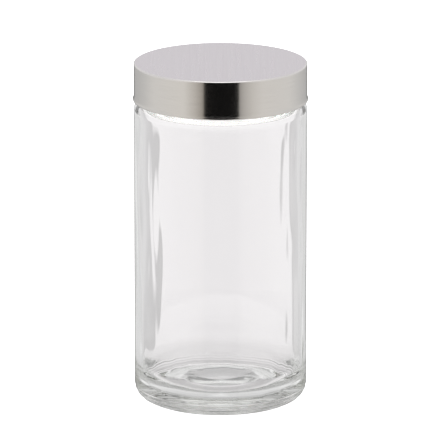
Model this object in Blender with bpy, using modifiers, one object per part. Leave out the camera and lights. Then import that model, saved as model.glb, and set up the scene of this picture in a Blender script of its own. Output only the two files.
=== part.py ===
"""Lidded glass canister: a moulded glass jar with a twist-and-lift lid.

The lid is a brushed steel shell over a plastic liner that carries a silicone sealing ring. Four short
lugs inside the liner drop through the gaps between four ridges on the jar's neck, and a part turn
clockwise slides them under the ridges, up to a stop on each.

Units are metres, +Z is up, and the origin is the centre of the base, on the surface that the jar
stands on. Every piece is turned about Z.
"""

from math import cos, pi, radians, sin

import bmesh
import bpy

# Driving dimensions
BODY_RADIUS = 0.055
TOTAL_HEIGHT = 0.219
LID_HEIGHT = 0.0244
WALL = 0.0038
GAP = 0.0003  # between pieces that touch
SEGMENTS = 60  # round every turned piece
MERGE = 0.00001  # where a turned profile meets the axis

# Jar: base and heel
HEEL_RADIUS = 0.009
BEARING_WIDTH = 0.003  # flat ring that the jar stands on
PUSH_UP = 0.0055  # how far the middle of the base is raised
PUSH_UP_FLAT = 0.018  # radius of the flat middle of the push-up
FLOOR_RISE = 0.005  # how far the inside floor rises to its flat middle
FLOOR_FLAT = 0.015  # radius of that flat middle
FLOOR_THICKNESS = 0.0091
INNER_HEEL_RADIUS = 0.015

# Jar: shoulder, neck and rim
SHOULDER_DROP = 0.0006  # from the lid's lower edge to the top of the shoulder
SHOULDER_RADIUS = 0.0055
NECK_RADIUS = 0.0494
NECK_FILLET = 0.0012
BORE_RADIUS = 0.0455
RIM_RADIUS = 0.0016

# Jar: thread ridges and their stops
STARTS = 4
RIDGE_SIZE = 0.0015  # radius of the half-round section
RIDGE_END_Z = 0.2058  # at the locked end
RIDGE_RISE = 0.0016  # how much higher the lead-in end is
RIDGE_LEAD_IN = radians(-17)
RIDGE_LENGTH = radians(-56)  # clockwise from the lead-in end
STOP_DROP = 0.004
STOP_SIZE = 0.9  # as a share of the ridge's, at the top of the stop and half-way down
STOP_TIP_SIZE = 0.7  # at its lower end

# Ridges and lugs: shares of the full size at their tapered ends, and points along them
TIP_SIZE = 0.45
TAPER_POINTS = 2
RIDGE_POINTS = 12
LUG_POINTS = 6

# Lid shell
SHEET = 0.0005
TOP_EDGE_RADIUS = 0.0011
BEAD_RADIUS = 0.0009
BEAD_PROUD = 0.0006
BEAD_START = 40  # degrees, from straight out
BEAD_END = -80

# Lid liner
PLATE = 0.0018
SKIRT_WALL = 0.002
SKIRT_END = 0.0009  # how far the skirt stops above the shell's lower edge
SKIRT_LEAD_IN = 0.002  # height of the taper outside the skirt's lower edge
CHAMFER = 0.0005
PLUG_RADIUS = 0.0446  # outside of the rib that enters the bore and carries the ring
PLUG_WALL = 0.0012
PLUG_DEPTH = 0.0042
LUG_SIZE = 0.0019
LUG_LENGTH = radians(22)
LUG_DROP = 0.0025  # from the ridge's locked end down to the lug, both at mid-section

# Sealing ring
RING_THICKNESS = 0.002
RING_WIDTH = 0.0062
RING_EDGE = 0.0004

# Heights and radii that follow
LID_BOTTOM = TOTAL_HEIGHT - LID_HEIGHT
SHOULDER_TOP = LID_BOTTOM - SHOULDER_DROP
INNER_RADIUS = BODY_RADIUS - WALL
LINER_RADIUS = BODY_RADIUS - SHEET - GAP
LINER_TOP = TOTAL_HEIGHT - SHEET - GAP
PLATE_UNDERSIDE = LINER_TOP - PLATE
SKIRT_INNER = LINER_RADIUS - SKIRT_WALL
RING_TOP = PLATE_UNDERSIDE - GAP
RIM_Z = RING_TOP - RING_THICKNESS - GAP
FLOOR_Z = PUSH_UP + FLOOR_THICKNESS


def clear_scene():
    for obj in list(bpy.data.objects):
        bpy.data.objects.remove(obj, do_unlink=True)


def new_collection(name):
    collection = bpy.data.collections.new(name)
    bpy.context.scene.collection.children.link(collection)
    return collection


def material(name, colour, roughness, metallic=0.0, transmission=0.0):
    made = bpy.data.materials.new(name)
    made.use_nodes = True
    shader = made.node_tree.nodes["Principled BSDF"]
    shader.inputs["Base Color"].default_value = (*colour, 1)
    shader.inputs["Roughness"].default_value = roughness
    shader.inputs["Metallic"].default_value = metallic
    shader.inputs["Transmission Weight"].default_value = transmission
    made.diffuse_color = (*colour, 1)
    return made


def arc(centre_r, centre_z, radius, start, end, steps):
    """Points from start to end, in degrees counter-clockwise from +R, both ends included."""
    turn = [radians(start + (end - start) * i / steps) for i in range(steps + 1)]
    return [(centre_r + radius * cos(a), centre_z + radius * sin(a)) for a in turn]


def profile_mesh(name, points, closed):
    """The profile, in the XZ plane, as a chain of edges."""
    mesh = bpy.data.meshes.new(name)
    edges = [(i, i + 1) for i in range(len(points) - 1)]
    if closed:
        edges.append((len(points) - 1, 0))
    mesh.from_pydata([(r, 0, z) for r, z in points], edges, [])
    return mesh


def turned(name, points, finish, collection, closed=False):
    """A piece turned about Z from a profile that runs down its outer side."""
    obj = bpy.data.objects.new(name, profile_mesh(name, points, closed))
    collection.objects.link(obj)
    obj.data.materials.append(finish)
    screw = obj.modifiers.new("turn", "SCREW")
    screw.axis = "Z"
    screw.steps = SEGMENTS
    screw.render_steps = SEGMENTS
    screw.use_merge_vertices = True
    screw.merge_threshold = MERGE
    screw.use_smooth_shade = True
    return obj


def ridge_points(radius, start, length, z_start, z_end, count):
    """Points along a helix, each with a share of full size that rises from each tapered end."""
    points = []
    for i in range(count + 1):
        share = i / count
        angle = start + length * share
        size = min(1.0, TIP_SIZE + (1 - TIP_SIZE) * min(i, count - i) / TAPER_POINTS)
        z = z_start + (z_end - z_start) * share
        points.append((radius * cos(angle), radius * sin(angle), z, size))
    return points


def rod_helper(name, points, size, collection):
    """A half-buried round rod along the points, as a mesh that a Boolean can join to a wall."""
    curve = bpy.data.curves.new(name, "CURVE")
    curve.dimensions = "3D"
    curve.bevel_depth = size
    curve.bevel_resolution = 1
    curve.use_fill_caps = True
    spline = curve.splines.new("POLY")
    spline.points.add(len(points) - 1)
    for point, (x, y, z, share) in zip(spline.points, points):
        point.co = (x, y, z, 1)
        point.radius = share
    path = bpy.data.objects.new(name + "_path", curve)
    collection.objects.link(path)
    bpy.context.view_layer.update()
    graph = bpy.context.evaluated_depsgraph_get()
    mesh = bpy.data.meshes.new_from_object(path.evaluated_get(graph))
    helper = bpy.data.objects.new(name, mesh)
    helper.matrix_world = path.matrix_world
    collection.objects.link(helper)
    bpy.data.objects.remove(path, do_unlink=True)
    weld = bmesh.new()
    weld.from_mesh(mesh)
    bmesh.ops.remove_doubles(weld, verts=weld.verts, dist=MERGE)
    bmesh.ops.recalc_face_normals(weld, faces=weld.faces)
    weld.to_mesh(mesh)
    weld.free()
    helper.hide_render = True
    helper.display_type = "WIRE"
    return helper


def join_to(obj, helpers):
    for helper in helpers:
        union = obj.modifiers.new(helper.name, "BOOLEAN")
        union.operation = "UNION"
        union.solver = "EXACT"
        union.object = helper


def jar_profile():
    """From the middle of the inside floor, up the inside, over the rim and down the outside."""
    inner_edge = INNER_RADIUS - INNER_HEEL_RADIUS
    floor_edge_z = FLOOR_Z - FLOOR_RISE
    points = [(0, FLOOR_Z)]
    for share in (0, 0.25, 0.5, 0.75):
        drop = FLOOR_RISE * (1 - cos(pi * share)) / 2
        points.append((FLOOR_FLAT + (inner_edge - FLOOR_FLAT) * share, FLOOR_Z - drop))
    points += arc(
        inner_edge, floor_edge_z + INNER_HEEL_RADIUS, INNER_HEEL_RADIUS, -90, 0, 6
    )
    # the inside wall closes in to the bore under the shoulder, through two arcs of one radius
    step_in = INNER_RADIUS - BORE_RADIUS
    turn_z = SHOULDER_TOP - WALL
    points += arc(
        INNER_RADIUS - step_in / 2, turn_z - step_in / 2, step_in / 2, 0, 90, 3
    )
    points += arc(
        BORE_RADIUS + step_in / 2, turn_z + step_in / 2, step_in / 2, 270, 180, 3
    )[1:]
    points += arc(BORE_RADIUS + RIM_RADIUS, RIM_Z - RIM_RADIUS, RIM_RADIUS, 180, 90, 3)
    points += arc(NECK_RADIUS - RIM_RADIUS, RIM_Z - RIM_RADIUS, RIM_RADIUS, 90, 0, 3)
    points += arc(
        NECK_RADIUS + NECK_FILLET, SHOULDER_TOP + NECK_FILLET, NECK_FILLET, 180, 270, 2
    )
    points += arc(
        BODY_RADIUS - SHOULDER_RADIUS,
        SHOULDER_TOP - SHOULDER_RADIUS,
        SHOULDER_RADIUS,
        90,
        0,
        4,
    )
    points += arc(BODY_RADIUS - HEEL_RADIUS, HEEL_RADIUS, HEEL_RADIUS, 0, -90, 6)
    bearing_inner = BODY_RADIUS - HEEL_RADIUS - BEARING_WIDTH
    slope = bearing_inner - PUSH_UP_FLAT
    for share in (0, 0.3, 0.7, 1):
        rise = PUSH_UP * (1 - cos(pi * share)) / 2
        points.append((bearing_inner - slope * share, rise))
    points.append((0, PUSH_UP))
    return points


def make_jar(finish, parts, helpers):
    jar = turned("glass_jar", jar_profile(), finish, parts)
    rods = []
    for start in range(STARTS):
        turn = 2 * pi * start / STARTS
        lead_in = RIDGE_LEAD_IN + turn
        end = lead_in + RIDGE_LENGTH
        top = RIDGE_END_Z + RIDGE_RISE
        line = ridge_points(NECK_RADIUS, lead_in, RIDGE_LENGTH, top, RIDGE_END_Z, RIDGE_POINTS)
        rods.append(rod_helper(f"ridge_{start + 1}", line, RIDGE_SIZE, helpers))
        x, y = NECK_RADIUS * cos(end), NECK_RADIUS * sin(end)
        drop = [
            (x, y, RIDGE_END_Z, STOP_SIZE),
            (x, y, RIDGE_END_Z - STOP_DROP / 2, STOP_SIZE),
            (x, y, RIDGE_END_Z - STOP_DROP, STOP_TIP_SIZE),
        ]
        rods.append(rod_helper(f"stop_{start + 1}", drop, RIDGE_SIZE, helpers))
    join_to(jar, rods)
    return jar


def make_shell(finish, parts):
    """The steel cap: one sheet, pressed flat on top and rolled out into a bead below."""
    points = [(0, TOTAL_HEIGHT), (BODY_RADIUS / 2, TOTAL_HEIGHT)]
    points += arc(
        BODY_RADIUS - TOP_EDGE_RADIUS,
        TOTAL_HEIGHT - TOP_EDGE_RADIUS,
        TOP_EDGE_RADIUS,
        90,
        0,
        3,
    )
    bead_z = LID_BOTTOM + BEAD_RADIUS
    points.append((BODY_RADIUS, bead_z + 2 * BEAD_RADIUS))
    bead_r = BODY_RADIUS + BEAD_PROUD - BEAD_RADIUS
    points += arc(bead_r, bead_z, BEAD_RADIUS, BEAD_START, BEAD_END, 4)
    shell = turned("lid_shell", points, finish, parts)
    sheet = shell.modifiers.new("sheet", "SOLIDIFY")
    sheet.thickness = SHEET
    sheet.offset = -1
    return shell


def make_liner(finish, parts, helpers):
    """The plastic cap inside the shell: a plate, a skirt with lugs, and a rib for the ring."""
    skirt_end = LID_BOTTOM + SKIRT_END
    plug_end = PLATE_UNDERSIDE - PLUG_DEPTH
    points = [
        (0, LINER_TOP),
        (LINER_RADIUS - 2 * TOP_EDGE_RADIUS, LINER_TOP),
        (LINER_RADIUS, LINER_TOP - 2 * TOP_EDGE_RADIUS),
        (LINER_RADIUS, skirt_end + SKIRT_LEAD_IN),
        (LINER_RADIUS - CHAMFER, skirt_end),
        (SKIRT_INNER + CHAMFER, skirt_end),
        (SKIRT_INNER, skirt_end + CHAMFER),
        (SKIRT_INNER, PLATE_UNDERSIDE),
        (PLUG_RADIUS, PLATE_UNDERSIDE),
        (PLUG_RADIUS, plug_end + CHAMFER),
        (PLUG_RADIUS - CHAMFER, plug_end),
        (PLUG_RADIUS - PLUG_WALL, plug_end),
        (PLUG_RADIUS - PLUG_WALL, PLATE_UNDERSIDE),
        (0, PLATE_UNDERSIDE),
    ]
    liner = turned("lid_liner", points, finish, parts)
    lug_z = RIDGE_END_Z - LUG_DROP
    rods = []
    for start in range(STARTS):
        first = 2 * pi * start / STARTS + LUG_LENGTH / 2
        line = ridge_points(SKIRT_INNER, first, -LUG_LENGTH, lug_z, lug_z, LUG_POINTS)
        rods.append(rod_helper(f"lug_{start + 1}", line, LUG_SIZE, helpers))
    join_to(liner, rods)
    return liner


def make_ring(finish, parts):
    """The sealing ring, in the recess between the liner's rib and its skirt."""
    inner = PLUG_RADIUS + GAP
    outer = inner + RING_WIDTH
    bottom = RING_TOP - RING_THICKNESS
    points = [
        (inner + RING_EDGE, RING_TOP),
        (outer - RING_EDGE, RING_TOP),
        (outer, RING_TOP - RING_EDGE),
        (outer, bottom + RING_EDGE),
        (outer - RING_EDGE, bottom),
        (inner + RING_EDGE, bottom),
        (inner, bottom + RING_EDGE),
        (inner, RING_TOP - RING_EDGE),
    ]
    return turned("lid_gasket", points, finish, parts, closed=True)


def main():
    clear_scene()
    parts = new_collection("lidded_glass_canister")
    helpers = new_collection("helpers")
    glass = material("clear_glass", (0.93, 0.95, 0.94), 0.02, transmission=1.0)
    steel = material("brushed_steel", (0.62, 0.61, 0.6), 0.3, metallic=1.0)
    plastic = material("white_plastic", (0.86, 0.86, 0.84), 0.4)
    silicone = material("silicone", (0.8, 0.8, 0.78), 0.55)
    make_jar(glass, parts, helpers)
    make_shell(steel, parts)
    make_liner(plastic, parts, helpers)
    make_ring(silicone, parts)


main()
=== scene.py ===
"""Looks for the lidded glass canister: moulded glass, a brushed steel cap, a white liner and a seal."""

from math import cos, pi, radians, sin, sqrt

import bmesh
import bpy
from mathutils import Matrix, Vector, noise


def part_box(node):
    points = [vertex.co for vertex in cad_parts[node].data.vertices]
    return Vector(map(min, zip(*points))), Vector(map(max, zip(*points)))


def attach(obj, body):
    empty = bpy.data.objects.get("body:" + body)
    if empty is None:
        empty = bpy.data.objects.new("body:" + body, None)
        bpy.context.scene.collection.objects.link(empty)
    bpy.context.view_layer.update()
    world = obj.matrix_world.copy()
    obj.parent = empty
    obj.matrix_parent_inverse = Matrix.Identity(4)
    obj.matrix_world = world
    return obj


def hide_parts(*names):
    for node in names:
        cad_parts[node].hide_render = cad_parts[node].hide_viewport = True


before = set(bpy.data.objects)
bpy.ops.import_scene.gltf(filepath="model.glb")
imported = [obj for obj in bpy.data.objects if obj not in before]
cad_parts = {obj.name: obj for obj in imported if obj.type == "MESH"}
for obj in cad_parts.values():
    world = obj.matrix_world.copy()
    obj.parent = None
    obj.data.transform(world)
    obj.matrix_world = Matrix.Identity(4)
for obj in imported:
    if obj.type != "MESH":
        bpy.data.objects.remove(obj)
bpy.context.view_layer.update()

MM = 0.001

# Lengths under this count as nothing
TINY = 1e-7

# Sizes taken from the CAD parts in model.glb
BODY_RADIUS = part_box("glass_jar")[1][0]
RIM_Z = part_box("glass_jar")[1][2]
LID_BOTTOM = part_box("lid_shell")[0][2]
LID_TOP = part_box("lid_shell")[1][2]
BEAD_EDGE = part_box("lid_shell")[1][0]

# Jar, as in the CAD model
HEEL_RADIUS = 9 * MM
BEARING_WIDTH = 3 * MM
PUSH_UP = 5.5 * MM
PUSH_UP_FLAT = 18 * MM
WALL = 3.8 * MM
FLOOR_Z = 14.6 * MM
FLOOR_RISE = 5.0 * MM
FLOOR_FLAT = 15 * MM
INNER_HEEL_RADIUS = 15 * MM
SHOULDER_RADIUS = 5.5 * MM
SHOULDER_Z = LID_BOTTOM - 0.6 * MM
NECK_RADIUS = 49.4 * MM
NECK_FILLET = 1.2 * MM
BORE_RADIUS = 45.5 * MM
RIM_ROUND = 1.6 * MM

# Shallow rings that the mould leaves round the heel
HEEL_RINGS = 5
HEEL_RING_DEPTH = 0.3 * MM

# Rows of points along each stretch of the jar's outline, and points round it
JAR_SEGMENTS = 256
FLOOR_STEPS = 24
INNER_HEEL_STEPS = 14
INNER_WALL_STEPS = 60
INNER_BEND_STEPS = 8
RIM_STEPS = 6
NECK_STEPS = 44
FILLET_STEPS = 5
SHOULDER_STEPS = 12
OUTER_WALL_STEPS = 40
HEEL_STEPS = 48
PUSH_UP_STEPS = 12
PUSH_UP_FLAT_STEPS = 5

# Unevenness of the glass, as layers of noise: size, scale round the jar, scale along it, and offset
WALL_WAVES = [
    (0.36 * MM, 1.6, 9, (0, 0, 3.1)),
    (0.18 * MM, 7, 20, (7, 0, 0)),
]
FLOOR_WAVES = [
    (0.9 * MM, 1.3, 20, (11, 2, 0)),
    (0.25 * MM, 5, 60, (4, 0, 0)),
]
WALL_WAVES_LOW = FLOOR_Z + INNER_HEEL_RADIUS / 2
WALL_WAVES_HIGH = SHOULDER_Z - 2 * WALL
WALL_WAVES_FADE = 10 * MM
WALL_WAVES_INNER = BORE_RADIUS * 0.9
FLOOR_WAVES_FADE = 20 * MM
FLOOR_WAVES_HIGH = WALL_WAVES_LOW + FLOOR_WAVES_FADE

# Thread ridges on the neck, as in the CAD model
STARTS = 4
RIDGE_SIZE = 1.5 * MM
RIDGE_END_Z = 205.8 * MM
RIDGE_RISE = 1.6 * MM
RIDGE_LEAD_IN = radians(-17)
RIDGE_LENGTH = radians(56)
RIDGE_TIP = 0.25
RIDGE_TAPER = 9
STOP_DROP = 4 * MM
STOP_SIZE = RIDGE_SIZE * 0.9

# Lid shell
SHEET = 0.5 * MM
EDGE_ROUND = 1.1 * MM
BEAD_ROUND = 0.9 * MM
BEAD_START = 40
BEAD_END = -80
LID_SEGMENTS = 256
FACES_UP = 0.99
TOP_STEPS = 10
EDGE_STEPS = 8
INNER_EDGE_STEPS = 4
SIDE_STEPS = 12
BEAD_STEPS = 10
INNER_BEAD_STEPS = 8

# Colours
GLASS_TINT = (0.87, 0.88, 0.84)
STEEL_SIDE = (0.62, 0.6, 0.575)
# steel of the flat top, with a painted reflection tint of lavender grey
STEEL_TOP_PAINTED_TINT = (0.597, 0.558, 0.59)
# lighter steel for the rounded edge: painted highlight
STEEL_EDGE_PAINTED_HIGHLIGHT = (0.68, 0.66, 0.65)
PLASTIC_WHITE = (0.86, 0.86, 0.84)
SILICONE_WHITE = (0.8, 0.8, 0.78)
# colour of the painted glow of the liner and the seal
GLOW_WHITE = (1, 0.99, 0.98)
FLOOR_WHITE = (0.9, 0.9, 0.9)

# Painted glow of the liner and the seal behind the neck's glass
GLOW_STRENGTH = 0.9
GLOW_RADIUS = BORE_RADIUS - 1.2 * MM
GLOW_DEPTH = 8.5

# Painted shadow on the table, with a painted lit ring round the heel: how much light it lets through, by
# distance from the jar's axis in mm
SHADE_RADIUS = 250 * MM
SHADE_LEVELS = [
    (0, 0.8),
    (18, 0.78),
    (20, 0.6),
    (36, 0.6),
    (40, 0.78),
    (44, 0.9),
    (46, 1.0),
    (50, 1.0),
    (51, 0.65),
    (55, 0.68),
    (60, 0.86),
    (80, 0.9),
    (100, 0.93),
    (135, 0.95),
    (200, 0.965),
    (249, 0.99),
]

# What the steel sees, by degrees to the right of the front: a dark front and back between bright panels
STEEL_PANELS = [
    (-180, 0.12),
    (-168, 0.15),
    (-158, 0.56),
    (-140, 0.68),
    (-120, 0.8),
    (-100, (0.95, 0.94, 0.93)),
    (-50, (0.98, 0.96, 0.93)),
    (-34, (0.72, 0.69, 0.65)),
    (-25, (0.5, 0.47, 0.43)),
    (-22.8, (0.42, 0.39, 0.35)),
    (-21.6, 0.005),
    (23.8, 0.005),
    (24.8, (0.4, 0.4, 0.37)),
    (26, (0.5, 0.48, 0.46)),
    (31.5, (0.65, 0.63, 0.61)),
    (43, (0.84, 0.82, 0.79)),
    (57, (0.96, 0.94, 0.92)),
    (104, (0.96, 0.95, 0.94)),
    (125, 0.81),
    (140, 0.69),
    (158, 0.56),
    (168, 0.15),
    (180, 0.12),
]

# What the steel sees over the horizon: where each light starts and is full, in degrees up, and its level
WALL_LIGHT = (0, 5, 0.93)
SOFT_LIGHT = (50, 65, 1.15)
LAMP = (68, 74, 2.0)

# What is seen straight through the glass: panels, by degrees from the nearest of 8 directions
PANEL_HALF_WIDTH = 22.5
GLASS_PANELS = [
    (0, 1.0),
    (6.9, 1.0),
    (8.1, 0.61),
    (11.0, 0.65),
    (16.0, 0.75),
    (22.5, 0.77),
]
PANEL_TINT = (0.97, 0.949, 0.96)
TABLE_LEVEL = 0.95

# What light sees that was reflected twice in the wall, by degrees from the front
INNER_LEVELS = [(0, 0.01), (60, 0.03), (120, 0.6), (180, 0.75)]

# What light sees that has been round inside the base, by how high up it leaves, 0 down to 1 up ...
BASE_LEVELS = [
    (0.0, 0.85),
    (0.35, 0.85),
    (0.45, 0.9),
    (0.55, 0.9),
    (0.64, 0.75),
    (0.69, 0.35),
    (0.8, 0.35),
    (0.84, 0.9),
]
# ... and by where round, 0 front to 1 back
BASE_SIDES = [(0.0, 0.95), (0.08, 0.95), (0.2, 0.75), (0.4, 0.8), (0.85, 0.85), (0.94, 1.05)]

# A dark flag on each side of the back, which the shoulder's two corners pick up
FLAG_HEIGHT = [(0.53, 0.0), (0.55, 1.0), (0.605, 1.0), (0.62, 0.0)]
FLAG_SIDE = [(0.77, 0.0), (0.79, 1.0), (0.89, 1.0), (0.91, 0.0)]
FLAG_LEVEL = 0.02

# Light that bounces about in the glass needs a long way to get out
LIGHT_BOUNCES = 160

# Staging lies a little under the jar, so that no two faces meet
FLOOR_DROP = 0.2 * MM
SHADE_DROP = 0.1 * MM

# Camera
CAMERA_DISTANCE = 3.188
CAMERA_PITCH = radians(15.15)
CAMERA_LENS = 413.7
AIM_RISE = 7.7 * MM
AIM_SIDE = -1.9 * MM


def arc(centre_r, centre_z, radius, start, end, steps):
    """Points from start to end, in degrees counter-clockwise from +R, both ends included."""
    turn = [radians(start + (end - start) * i / steps) for i in range(steps + 1)]
    return [(centre_r + radius * cos(a), centre_z + radius * sin(a)) for a in turn]


def line(start, end, steps):
    """Points between two others, without either."""
    share = [i / steps for i in range(1, steps)]
    return [
        (start[0] + (end[0] - start[0]) * t, start[1] + (end[1] - start[1]) * t)
        for t in share
    ]


def limited(value):
    """A value kept from 0 to 1."""
    return min(1.0, max(0.0, value))


def join_rings(shape, upper, lower, segments):
    """Faces between two rings of points, either of which may be a single point."""
    for i in range(segments):
        j = (i + 1) % segments
        if len(upper) == 1:
            shape.faces.new((upper[0], lower[i], lower[j]))
        elif len(lower) == 1:
            shape.faces.new((upper[i], lower[0], upper[j]))
        else:
            shape.faces.new((upper[i], lower[i], lower[j], upper[j]))


def turned_mesh(name, rows, segments, place):
    """A mesh of one ring of points for each row; a row at radius 0 is one point."""
    shape = bmesh.new()
    rings = []
    for index, (radius, height) in enumerate(rows):
        if radius < TINY:
            rings.append([shape.verts.new((0, 0, height))])
            continue
        turns = [2 * pi * i / segments for i in range(segments)]
        rings.append([shape.verts.new(place(index, radius, height, a)) for a in turns])
    for upper, lower in zip(rings, rings[1:]):
        join_rings(shape, upper, lower, segments)
    bmesh.ops.recalc_face_normals(shape, faces=shape.faces)
    for face in shape.faces:
        face.smooth = True
    mesh = bpy.data.meshes.new(name)
    shape.to_mesh(mesh)
    shape.free()
    obj = bpy.data.objects.new(name, mesh)
    bpy.context.scene.collection.objects.link(obj)
    return obj


def round_place(index, radius, height, angle):
    return (radius * cos(angle), radius * sin(angle), height)


# Jar


def inner_rows():
    """Inside of the jar, from the middle of the floor up to the top of the rim."""
    inner_radius = BODY_RADIUS - WALL
    edge = inner_radius - INNER_HEEL_RADIUS
    rows = [(0, FLOOR_Z)]
    for i in range(1, FLOOR_STEPS):
        radius = edge * i / FLOOR_STEPS
        share = max(0.0, (radius - FLOOR_FLAT) / (edge - FLOOR_FLAT))
        rows.append((radius, FLOOR_Z - FLOOR_RISE * (1 - cos(pi * share)) / 2))
    heel_z = FLOOR_Z - FLOOR_RISE + INNER_HEEL_RADIUS
    rows += arc(edge, heel_z, INNER_HEEL_RADIUS, -90, 0, INNER_HEEL_STEPS)
    bend = (inner_radius - BORE_RADIUS) / 2
    turn_z = SHOULDER_Z - WALL
    wall_top = (inner_radius, turn_z - bend)
    rows += line(rows[-1], wall_top, INNER_WALL_STEPS)
    rows += arc(inner_radius - bend, wall_top[1], bend, 0, 90, INNER_BEND_STEPS)
    rows += arc(BORE_RADIUS + bend, turn_z + bend, bend, 270, 180, INNER_BEND_STEPS)[1:]
    rows += arc(BORE_RADIUS + RIM_ROUND, RIM_Z - RIM_ROUND, RIM_ROUND, 180, 90, RIM_STEPS)
    return rows


def heel_rows():
    """The rounded heel, with the shallow rings that the mould leaves round it."""
    rows = []
    middle = BODY_RADIUS - HEEL_RADIUS
    for i in range(HEEL_STEPS + 1):
        share = i / HEEL_STEPS
        ring = (1 - cos(2 * pi * HEEL_RINGS * share)) / 2
        radius = HEEL_RADIUS - HEEL_RING_DEPTH * ring
        turn = -pi / 2 * share
        rows.append((middle + radius * cos(turn), HEEL_RADIUS + radius * sin(turn)))
    return rows


def push_up_rows():
    """The hollow under the base, from the ring that the jar stands on to the middle."""
    bearing_inner = BODY_RADIUS - HEEL_RADIUS - BEARING_WIDTH
    slope = bearing_inner - PUSH_UP_FLAT
    rows = []
    for i in range(PUSH_UP_STEPS + 1):
        share = i / PUSH_UP_STEPS
        rise = PUSH_UP * (1 - cos(pi * share)) / 2
        rows.append((bearing_inner - slope * share, rise))
    for i in range(1, PUSH_UP_FLAT_STEPS):
        rows.append((PUSH_UP_FLAT * (1 - i / PUSH_UP_FLAT_STEPS), PUSH_UP))
    rows.append((0, PUSH_UP))
    return rows


def outer_rows():
    """Outside of the jar, from the rim down to the middle of the base."""
    rows = arc(NECK_RADIUS - RIM_ROUND, RIM_Z - RIM_ROUND, RIM_ROUND, 90, 0, RIM_STEPS)
    fillet_z = SHOULDER_Z + NECK_FILLET
    rows += line(rows[-1], (NECK_RADIUS, fillet_z), NECK_STEPS)
    rows += arc(NECK_RADIUS + NECK_FILLET, fillet_z, NECK_FILLET, 180, 270, FILLET_STEPS)
    edge = BODY_RADIUS - SHOULDER_RADIUS
    edge_z = SHOULDER_Z - SHOULDER_RADIUS
    rows += arc(edge, edge_z, SHOULDER_RADIUS, 90, 0, SHOULDER_STEPS)
    rows += line(rows[-1], (BODY_RADIUS, HEEL_RADIUS), OUTER_WALL_STEPS)
    return rows + heel_rows() + push_up_rows()


def bulge(size, off):
    """How far a round bar of that size stands out, at a distance off its middle."""
    return sqrt(size**2 - off**2) if off < size else 0.0


def ridge_height(angle, height):
    """How far the neck's wall stands out at a point, for the ridges and their stops."""
    best = 0.0
    for start in range(STARTS):
        lead_in = RIDGE_LEAD_IN + 2 * pi * start / STARTS
        along = ((lead_in - angle) % (2 * pi)) / RIDGE_LENGTH
        if along > 1.5:  # so far past one end that it lies before the other
            along -= 2 * pi / RIDGE_LENGTH
        taper = limited(min(along, 1 - along) * RIDGE_TAPER + RIDGE_TIP)
        middle = RIDGE_END_Z + RIDGE_RISE * (1 - limited(along))
        best = max(best, bulge(RIDGE_SIZE * taper, abs(height - middle)))
        end = lead_in - RIDGE_LENGTH
        side = ((angle - end + pi) % (2 * pi) - pi) * NECK_RADIUS
        below = max(0.0, RIDGE_END_Z - STOP_DROP - height)
        above = max(0.0, height - RIDGE_END_Z)
        off = sqrt(side**2 + below**2 + above**2)
        best = max(best, bulge(STOP_SIZE, off))
    return best


def waves(layers, angle, along):
    """Unevenness at a turn round the jar and a distance along its wall or floor."""
    x, y = cos(angle), sin(angle)
    total = 0
    for size, round_rate, along_rate, (dx, dy, dz) in layers:
        point = Vector((x * round_rate + dx, y * round_rate + dy, along * along_rate + dz))
        total += size * noise.noise(point)
    return total


def inside_place(index, radius, height, angle):
    """The jar's inside: an uneven floor, flat in its middle, and a wall of uneven thickness."""
    if height < FLOOR_WAVES_HIGH:
        fade = limited((FLOOR_WAVES_HIGH - height) / FLOOR_WAVES_FADE)
        rim_share = (radius / BODY_RADIUS) ** 2
        height += waves(FLOOR_WAVES, angle, radius) * rim_share * fade
    if radius > WALL_WAVES_INNER:
        rise = limited((height - WALL_WAVES_LOW) / WALL_WAVES_FADE)
        fall = limited((WALL_WAVES_HIGH - height) / WALL_WAVES_FADE)
        radius += waves(WALL_WAVES, angle, height) * min(rise, fall)
    return round_place(index, radius, height, angle)


def make_jar(finish):
    inside = inner_rows()

    def place(index, radius, height, angle):
        if index < len(inside):
            return inside_place(index, radius, height, angle)
        if abs(radius - NECK_RADIUS) < TINY:
            radius += ridge_height(angle, height)
        return round_place(index, radius, height, angle)

    jar = turned_mesh("jar_glass", inside + outer_rows(), JAR_SEGMENTS, place)
    jar.data.materials.append(finish)
    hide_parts("glass_jar")
    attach(jar, "jar")


# Lid


def shell_outer_rows():
    top_edge = BODY_RADIUS - EDGE_ROUND
    rows = [(0, LID_TOP)]
    rows += line(rows[0], (top_edge, LID_TOP), TOP_STEPS)
    rows += arc(top_edge, LID_TOP - EDGE_ROUND, EDGE_ROUND, 90, 0, EDGE_STEPS)
    bead_z = LID_BOTTOM + BEAD_ROUND
    side_end = (BODY_RADIUS, bead_z + 2 * BEAD_ROUND)
    rows += line(rows[-1], side_end, SIDE_STEPS)
    rows.append(side_end)
    rows += arc(BEAD_EDGE - BEAD_ROUND, bead_z, BEAD_ROUND, BEAD_START, BEAD_END, BEAD_STEPS)
    return rows


def shell_inner_rows():
    bead_r = BEAD_EDGE - BEAD_ROUND
    bead_z = LID_BOTTOM + BEAD_ROUND
    rows = arc(bead_r, bead_z, BEAD_ROUND - SHEET, BEAD_END, BEAD_START, INNER_BEAD_STEPS)
    inner = BODY_RADIUS - SHEET
    rows.append((inner, LID_BOTTOM + 3 * BEAD_ROUND))
    rows += arc(inner - SHEET, LID_TOP - 2 * SHEET, SHEET, 0, 90, INNER_EDGE_STEPS)
    rows.append((0, LID_TOP - SHEET))
    return rows


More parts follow.
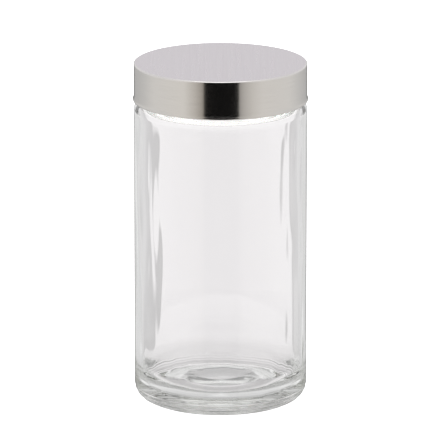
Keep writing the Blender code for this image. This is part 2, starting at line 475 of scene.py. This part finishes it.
def make_shell(side_finish, top_finish_and_painted_tint, edge_polish_and_painted_highlight):
    rows = shell_outer_rows() + shell_inner_rows()
    shell = turned_mesh("lid_cap", rows, LID_SEGMENTS, round_place)
    for finish in (side_finish, top_finish_and_painted_tint, edge_polish_and_painted_highlight):
        shell.data.materials.append(finish)
    for face in shell.data.polygons:
        outside = face.center.xy.length > BODY_RADIUS - EDGE_ROUND
        # the flat top takes the steel with the painted reflection tint
        if face.normal.z > FACES_UP and face.center.z > LID_TOP - SHEET / 2:
            face.material_index = 1
        # the rounded top edge takes the polished steel with the painted highlight
        elif outside and face.center.z > LID_TOP - EDGE_ROUND:
            face.material_index = 2
    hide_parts("lid_shell")
    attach(shell, "lid")


# Nodes


class Graph:
    """A node tree under construction; most methods add nodes and give back an output socket."""

    def __init__(self, tree):
        self.nodes = tree.nodes
        self.links = tree.links

    def put(self, value, socket):
        """A number, a colour or another node's output, into an input."""
        if isinstance(value, (int, float)):
            socket.default_value = value
        elif isinstance(value, tuple):
            socket.default_value = (*value, 1)
        else:
            self.links.new(value, socket)

    def math(self, operation, *values):
        node = self.nodes.new("ShaderNodeMath")
        node.operation = operation
        for value, socket in zip(values, node.inputs):
            self.put(value, socket)
        return node.outputs[0]

    def product(self, first, *others):
        for other in others:
            first = self.math("MULTIPLY", first, other)
        return first

    def ramp(self, value, stops):
        """A colour or a grey level that changes evenly between stops, from (position, level) pairs."""
        node = self.nodes.new("ShaderNodeValToRGB")
        elements = node.color_ramp.elements
        elements.remove(elements[-1])
        for i, (position, level) in enumerate(stops):
            stop = elements[0] if i == 0 else elements.new(position)
            stop.position = position
            colour = level if isinstance(level, tuple) else (level,) * 3
            stop.color = (*colour, 1)
        self.links.new(value, node.inputs["Fac"])
        return node.outputs["Color"]

    def mix(self, share, first, second):
        """The first colour where share is 0, and the second, or a grey level, where it is 1."""
        node = self.nodes.new("ShaderNodeMix")
        node.data_type = "RGBA"
        self.put(share, node.inputs["Factor"])
        if isinstance(second, float):
            second = (second,) * 3
        self.put(first, node.inputs[6])
        self.put(second, node.inputs[7])
        return node.outputs[2]

    def tint(self, value, colour):
        """A colour multiplied by a value or by another colour."""
        node = self.nodes.new("ShaderNodeMix")
        node.data_type = "RGBA"
        node.blend_type = "MULTIPLY"
        node.inputs["Factor"].default_value = 1.0
        self.put(colour, node.inputs[6])
        self.put(value, node.inputs[7])
        return node.outputs[2]

    def place(self):
        """Place on the object, in metres."""
        return self.nodes.new("ShaderNodeTexCoord").outputs["Object"]

    def length(self, vector):
        node = self.nodes.new("ShaderNodeVectorMath")
        node.operation = "LENGTH"
        self.links.new(vector, node.inputs[0])
        return node.outputs["Value"]

    def distance_from_axis(self):
        flat = self.nodes.new("ShaderNodeVectorMath")
        flat.operation = "MULTIPLY"
        flat.inputs[1].default_value = (1, 1, 0)
        self.links.new(self.place(), flat.inputs[0])
        return self.length(flat.outputs[0])

    def split(self, vector):
        node = self.nodes.new("ShaderNodeSeparateXYZ")
        self.links.new(vector, node.inputs[0])
        return node.outputs

    def round_place(self):
        """Place on a turned surface, as (turn in radians, 0, height)."""
        x, y, z = self.split(self.place())
        join = self.nodes.new("ShaderNodeCombineXYZ")
        self.links.new(self.math("ARCTAN2", y, x), join.inputs[0])
        self.links.new(z, join.inputs[2])
        return join.outputs[0]

    def noise(self, source, scale, detail):
        """Noise that is stretched by the scale along each axis."""
        stretch = self.nodes.new("ShaderNodeMapping")
        stretch.inputs["Scale"].default_value = scale
        self.links.new(source, stretch.inputs["Vector"])
        node = self.nodes.new("ShaderNodeTexNoise")
        node.inputs["Scale"].default_value = 1.0
        node.inputs["Detail"].default_value = detail
        self.links.new(stretch.outputs["Vector"], node.inputs["Vector"])
        return node

    def streaks(self, source, scale, detail, low, high):
        """Fine marks, as noise and as a value from low to high."""
        marks = self.noise(source, scale, detail)
        marks.inputs["Roughness"].default_value = 0.7
        spread = self.nodes.new("ShaderNodeMapRange")
        limits = {"From Min": 0.3, "From Max": 0.7, "To Min": low, "To Max": high}
        for name, value in limits.items():
            spread.inputs[name].default_value = value
        self.links.new(marks.outputs["Fac"], spread.inputs["Value"])
        return marks.outputs["Fac"], spread.outputs["Result"]

    def bump(self, shader, height, strength, distance):
        node = self.nodes.new("ShaderNodeBump")
        node.inputs["Strength"].default_value = strength
        node.inputs["Distance"].default_value = distance
        self.links.new(height, node.inputs["Height"])
        self.links.new(node.outputs["Normal"], shader.inputs["Normal"])


# Materials


def new_material(name):
    made = bpy.data.materials.new(name)
    made.use_nodes = True
    return made, Graph(made.node_tree), made.node_tree.nodes["Principled BSDF"]


def glass_material():
    """Clear glass with a faint grey-green tint where it is thick, and a slightly wavy surface."""
    made, graph, shader = new_material("clear_glass")
    shader.inputs["Base Color"].default_value = (1, 1, 1, 1)
    shader.inputs["Roughness"].default_value = 0.0
    shader.inputs["IOR"].default_value = 1.52
    shader.inputs["Transmission Weight"].default_value = 1.0
    absorb = graph.nodes.new("ShaderNodeVolumeAbsorption")
    absorb.inputs["Color"].default_value = (*GLASS_TINT, 1)
    absorb.inputs["Density"].default_value = 4.5
    graph.links.new(absorb.outputs[0], graph.nodes["Material Output"].inputs["Volume"])
    wavy = graph.noise(graph.place(), scale=(60, 60, 12), detail=2)
    graph.bump(shader, wavy.outputs["Fac"], strength=0.12, distance=0.4 * MM)
    return made


def finish_surface(graph, shader, source, colour, marks, roughness):
    """Colour and roughness from streaks, each given as scale, detail, low and high; noise for a bump."""
    height, level = graph.streaks(source, *marks)
    graph.links.new(graph.tint(level, colour), shader.inputs["Base Color"])
    rough = graph.streaks(source, *roughness)[1]
    graph.links.new(rough, shader.inputs["Roughness"])
    return height


def steel_side_material():
    """Steel brushed round its side, so that its reflections smear up and down only."""
    made, graph, shader = new_material("brushed_steel_side")
    shader.inputs["Metallic"].default_value = 1.0
    shader.inputs["Anisotropic"].default_value = 1.0
    shader.inputs["Anisotropic Rotation"].default_value = 0.25
    tangent = graph.nodes.new("ShaderNodeTangent")
    tangent.direction_type = "RADIAL"
    tangent.axis = "Z"
    graph.links.new(tangent.outputs["Tangent"], shader.inputs["Tangent"])
    marks = ((2.5, 1, 5200), 4, 0.93, 1.05)
    roughness = ((4, 1, 3000), 2, 0.15, 0.21)
    source = graph.round_place()
    height = finish_surface(graph, shader, source, STEEL_SIDE, marks, roughness)
    graph.bump(shader, height, strength=0.08, distance=0.02 * MM)
    return made


def steel_top_material():
    """Steel brushed in straight lines across the flat top, with a lavender-grey painted reflection tint
    that the side's steel lacks.
    """
    made, graph, shader = new_material("brushed_steel_top_painted_tint")
    shader.inputs["Metallic"].default_value = 1.0
    marks = ((1800, 14, 1), 4, 0.98, 1.02)
    roughness = ((900, 10, 1), 2, 0.26, 0.34)
    # the top's colour carries the painted reflection tint
    height = finish_surface(graph, shader, graph.place(), STEEL_TOP_PAINTED_TINT, marks, roughness)
    graph.bump(shader, height, strength=0.08, distance=0.02 * MM)
    return made


def steel_edge_material():
    """The rounded edge between the top and the side, polished by the pressing, and lighter than the
    side's steel as a painted highlight.
    """
    made, graph, shader = new_material("steel_edge_painted_highlight")
    shader.inputs["Metallic"].default_value = 1.0
    marks = ((30, 1, 2000), 3, 0.94, 1.04)
    roughness = ((40, 1, 900), 2, 0.1, 0.18)
    # the lighter edge colour is a painted highlight
    finish_surface(graph, shader, graph.round_place(), STEEL_EDGE_PAINTED_HIGHLIGHT, marks, roughness)
    return made


def painted_glow_through_glass(graph, shader):
    """Painted glow: the liner and the seal give off light where glass is in front, standing in for light
    that the jar's neck pipes up to what lies on it.
    """
    path = graph.nodes.new("ShaderNodeLightPath").outputs
    behind = graph.math("GREATER_THAN", path["Transmission Depth"], 0.5)
    over_neck = graph.math("GREATER_THAN", graph.distance_from_axis(), GLOW_RADIUS)
    short_way = graph.math("LESS_THAN", path["Ray Depth"], GLOW_DEPTH)
    glow = graph.product(behind, GLOW_STRENGTH, over_neck, short_way)
    shader.inputs["Emission Color"].default_value = (*GLOW_WHITE, 1)
    graph.links.new(glow, shader.inputs["Emission Strength"])


def plastic_material():
    """Moulded white plastic with a fine, slightly uneven satin grain."""
    made, graph, shader = new_material("white_plastic")
    grain = ((900, 900, 900), 3, 0.96, 1.03)
    roughness = ((120, 120, 120), 2, 0.34, 0.46)
    height = finish_surface(graph, shader, graph.place(), PLASTIC_WHITE, grain, roughness)
    graph.bump(shader, height, strength=0.15, distance=0.04 * MM)
    # painted glow where the liner is seen through the glass
    painted_glow_through_glass(graph, shader)
    return made


def silicone_material():
    """Milky silicone: matt, faintly clouded, with light that goes a little way in."""
    made, graph, shader = new_material("silicone")
    shader.inputs["Subsurface Weight"].default_value = 0.3
    shader.inputs["Subsurface Scale"].default_value = 1 * MM
    clouds = ((180, 180, 180), 3, 0.94, 1.04)
    roughness = ((700, 700, 700), 2, 0.5, 0.62)
    height = finish_surface(graph, shader, graph.place(), SILICONE_WHITE, clouds, roughness)
    graph.bump(shader, height, strength=0.1, distance=0.05 * MM)
    # painted glow where the seal is seen through the glass
    painted_glow_through_glass(graph, shader)
    return made


# Stage


def make_floor():
    """A plain white floor that only the camera and soft light see; glass and steel see the studio."""
    bpy.ops.mesh.primitive_plane_add(size=40)
    floor = bpy.context.object
    floor.name = "floor"
    made, _, shader = new_material("floor_white")
    shader.inputs["Base Color"].default_value = (*FLOOR_WHITE, 1)
    shader.inputs["Emission Color"].default_value = (1, 1, 1, 1)
    shader.inputs["Emission Strength"].default_value = 1.0
    floor.data.materials.append(made)
    floor.location.z = -FLOOR_DROP
    floor.visible_glossy = False
    floor.visible_transmission = False


def make_shade():
    """A painted soft shadow of the jar on the table, which only what shines through the glass can show.
    """
    bpy.ops.mesh.primitive_circle_add(vertices=128, radius=SHADE_RADIUS, fill_type="NGON")
    shade = bpy.context.object
    shade.name = "under_shade"
    shade.location.z = -SHADE_DROP
    made, graph, shader = new_material("shaded_table")
    # painted shadow and painted lit ring, by distance from the jar's axis
    share = graph.math("DIVIDE", graph.length(graph.place()), SHADE_RADIUS)
    stops = [(radius * MM / SHADE_RADIUS, level) for radius, level in SHADE_LEVELS]
    lets_through = graph.nodes.new("ShaderNodeBsdfTransparent")
    graph.links.new(graph.ramp(share, stops), lets_through.inputs["Color"])
    surface = graph.nodes["Material Output"].inputs["Surface"]
    graph.links.new(lets_through.outputs[0], surface)
    graph.nodes.remove(shader)
    shade.data.materials.append(made)
    shade.visible_camera = False
    shade.visible_glossy = False
    shade.visible_diffuse = False
    shade.visible_shadow = False


def light_above(graph, z, view, light, share=None):
    """A view with a light over it, which starts at one height in degrees and is full from another."""
    start, full, level = light
    above = graph.ramp(z, [(sin(radians(start)), 0.0), (sin(radians(full)), 1.0)])
    if share is not None:
        above = graph.math("MULTIPLY", above, share)
    return graph.mix(above, view, level)


def steel_view(graph, z, front_share, whole_turn):
    """What the steel sees: panels round it, a pale wall at the back, a soft light and a lamp above."""
    stops = [(0.5 + degrees / 360, level) for degrees, level in STEEL_PANELS]
    view = graph.ramp(whole_turn, stops)
    behind = graph.ramp(front_share, [(0.35, 0.0), (0.5, 1.0)])
    view = light_above(graph, z, view, WALL_LIGHT, behind)
    view = light_above(graph, z, view, SOFT_LIGHT)
    return light_above(graph, z, view, LAMP)


def panel_view(graph, z, front_share):
    """What is seen through the glass: panels every 45 degrees, and the lit table steeply down."""
    fold = PANEL_HALF_WIDTH / 180
    folded = graph.math("PINGPONG", front_share, fold)
    stops = [(degrees / PANEL_HALF_WIDTH, level) for degrees, level in GLASS_PANELS]
    view = graph.ramp(graph.math("MULTIPLY", folded, 1 / fold), stops)
    down = graph.math("MULTIPLY", z, -1)
    steep_stops = [(0.0, 0.0), (sin(radians(18)), 0.0), (sin(radians(24)), 1.0)]
    steep = graph.ramp(down, steep_stops)
    view = graph.mix(steep, view, TABLE_LEVEL)
    return graph.tint(view, PANEL_TINT)


def base_view(graph, z, front_share):
    """What light sees that has been round inside the thick base or the shoulder."""
    height = graph.math("MULTIPLY_ADD", z, 0.5, 0.5)
    view = graph.tint(graph.ramp(front_share, BASE_SIDES), graph.ramp(height, BASE_LEVELS))
    in_height = graph.ramp(height, FLAG_HEIGHT)
    in_side = graph.ramp(front_share, FLAG_SIDE)
    return graph.mix(graph.math("MULTIPLY", in_height, in_side), view, FLAG_LEVEL)


def inner_view(graph, z, front_share, many):
    """What light sees that was reflected twice or more: a dark front, or the base's view."""
    view = graph.ramp(front_share, [(degrees / 180, level) for degrees, level in INNER_LEVELS])
    base = base_view(graph, z, front_share)
    # light that only met upright walls leaves as steeply as it came in
    off_level = graph.math("ABSOLUTE", graph.math("ADD", z, sin(CAMERA_PITCH)))
    off_level = graph.ramp(off_level, [(0.04, 0.0), (0.12, 1.0)])
    view = graph.mix(off_level, view, base)
    return graph.mix(many, view, base)


def make_studio():
    """White all round to the eye; what glass and steel see is panels, flags and a dark front."""
    world = bpy.data.worlds.new("studio")
    bpy.context.scene.world = world
    world.use_nodes = True
    graph = Graph(world.node_tree)
    direction = graph.nodes.new("ShaderNodeTexCoord").outputs["Generated"]
    x, y, z = graph.split(direction)
    # turn from the front, where the camera stands, 0 to 180 degrees on each side
    turn = graph.math("ARCTAN2", x, graph.math("MULTIPLY", y, -1))
    front_share = graph.math("DIVIDE", graph.math("ABSOLUTE", turn), pi)
    whole_turn = graph.math("MULTIPLY_ADD", turn, 0.5 / pi, 0.5)
    path = graph.nodes.new("ShaderNodeLightPath").outputs
    # whole numbers, so each test lies halfway between two of them
    reflections = graph.math("SUBTRACT", path["Ray Depth"], path["Transmission Depth"])
    reflected = graph.math("GREATER_THAN", reflections, 1.5)
    many = graph.math("GREATER_THAN", reflections, 2.5)
    through = panel_view(graph, z, front_share)
    inner = inner_view(graph, z, front_share, many)
    glass_view = graph.mix(reflected, through, inner)
    seen = steel_view(graph, z, front_share, whole_turn)
    seen = graph.mix(path["Is Transmission Ray"], seen, glass_view)
    seen = graph.mix(path["Is Diffuse Ray"], seen, 0.85)
    seen = graph.mix(path["Is Camera Ray"], seen, 1.0)
    graph.links.new(seen, graph.nodes["Background"].inputs["Color"])


def make_camera():
    data = bpy.data.cameras.new("camera")
    data.lens = CAMERA_LENS
    data.sensor_width = 36
    data.clip_end = 100
    camera = bpy.data.objects.new("camera", data)
    bpy.context.scene.collection.objects.link(camera)
    middle = Vector((0, 0, LID_TOP / 2))
    back = Vector((0, -cos(CAMERA_PITCH), sin(CAMERA_PITCH)))
    camera.location = middle + back * CAMERA_DISTANCE
    aim = middle + Vector((AIM_SIDE, 0, AIM_RISE))
    camera.rotation_euler = (aim - camera.location).to_track_quat("-Z", "Y").to_euler()
    bpy.context.scene.camera = camera


def main():
    make_camera()
    make_floor()
    make_shade()
    make_studio()
    make_jar(glass_material())
    make_shell(steel_side_material(), steel_top_material(), steel_edge_material())
    bpy.data.objects["lid_liner"].material_slots[0].material = plastic_material()
    bpy.data.objects["lid_gasket"].material_slots[0].material = silicone_material()
    scene = bpy.context.scene
    scene.view_settings.view_transform = "Standard"
    scene.cycles.max_bounces = LIGHT_BOUNCES
    scene.cycles.glossy_bounces = LIGHT_BOUNCES
    scene.cycles.transmission_bounces = LIGHT_BOUNCES


main()
